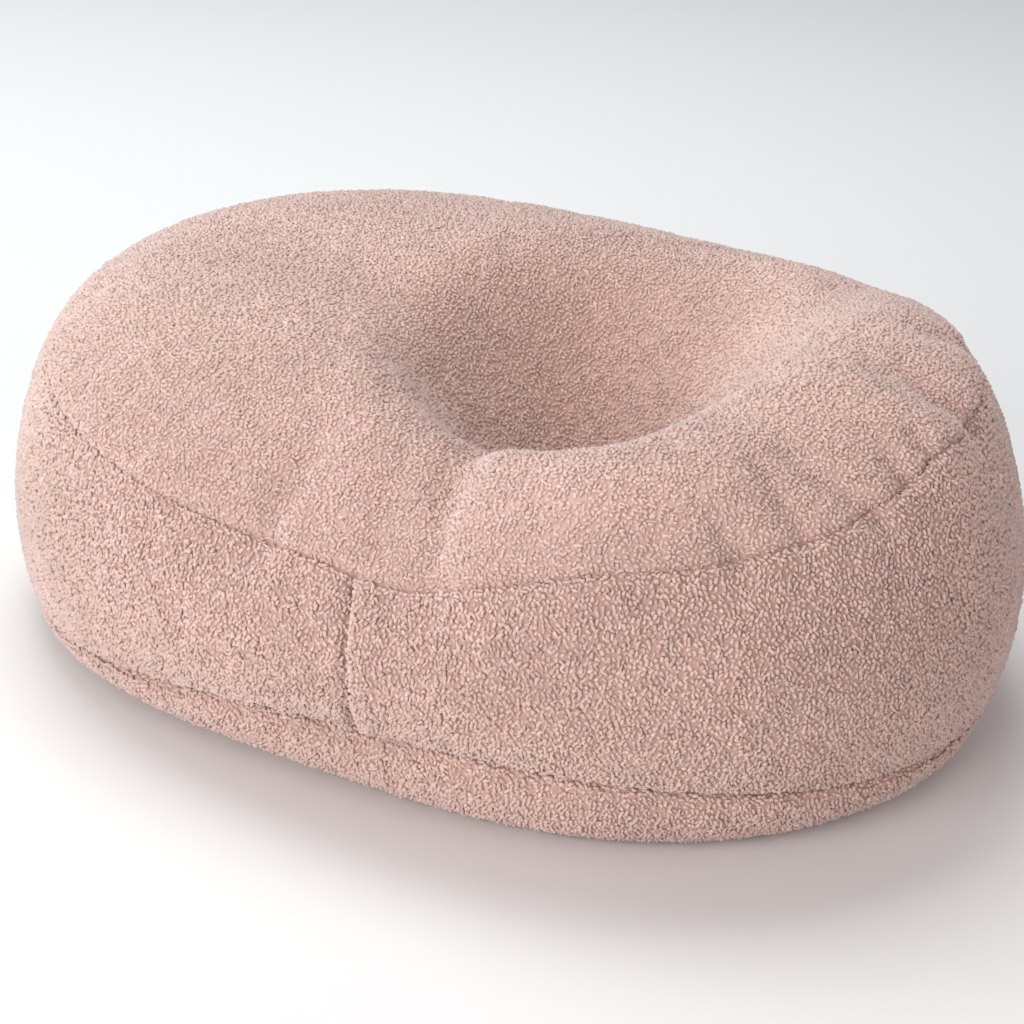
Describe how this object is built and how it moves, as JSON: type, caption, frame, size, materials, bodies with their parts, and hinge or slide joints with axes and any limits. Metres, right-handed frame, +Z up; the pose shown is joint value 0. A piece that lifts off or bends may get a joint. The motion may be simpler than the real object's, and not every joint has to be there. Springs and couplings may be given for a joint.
{
  "type": "round throw cushion",
  "caption": "Thick rounded throw cushion in teddy fleece with a side band, drawn-in seams and a deep pressed dent in its top.",
  "frame": {"origin": "middle of the footprint's box, on the surface that the cushion rests on", "axes": "+Z up through the cushion's thickness, -Y towards the side the picture shows, +X to the picture's right"},
  "size_m": [0.6276, 0.6096, 0.2438],
  "materials": {
    "fleece": "dusty pink curled teddy fleece, matt"
  },
  "bodies": {
    "root": {"cushion": "fleece"}
  },
  "joints": []
}
